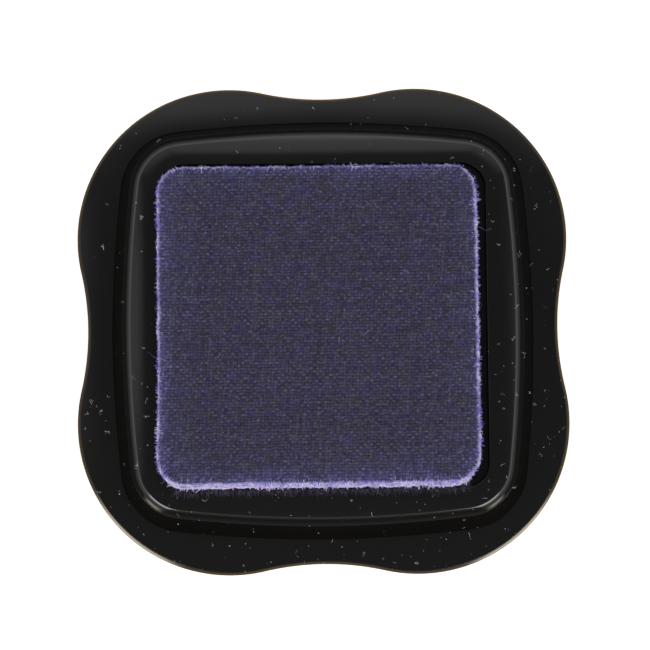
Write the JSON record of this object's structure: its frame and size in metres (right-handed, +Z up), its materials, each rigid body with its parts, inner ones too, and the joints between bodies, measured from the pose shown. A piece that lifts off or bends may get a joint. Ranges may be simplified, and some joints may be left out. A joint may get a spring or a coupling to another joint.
{
  "type": "ink pad",
  "caption": "Small raised ink pad: a woven inked face on a felt block, set in a black lobed moulded base with a raised rim and a hollow underside.",
  "frame": {"origin": "middle of the surface that the base stands on", "axes": "+Z up, out of the inking face; +X to the right and +Y away from the viewer in the picture"},
  "size_m": [0.05, 0.05, 0.0123],
  "materials": {
    "base_plastic": "black moulded plastic, polished, with a little lint",
    "adhesive": "double-sided film",
    "felt": "cut felt, pale, stained with ink",
    "inked_cloth": "plain weave soaked with blue-black ink, frayed at its cut edges"
  },
  "bodies": {
    "base": {"base_shell": "base_plastic", "adhesive_sheet": "adhesive", "felt_block": "felt"},
    "pad_face": {"ink_cloth": "inked_cloth"}
  },
  "joints": [
    {"name": "pad_press", "type": "slide", "parent": "base", "child": "pad_face", "axis": [0, 0, 1], "range_m": [-0.0006, 0], "stiffness_N_per_m": 12000, "deforming": ["felt_block"]}
  ]
}
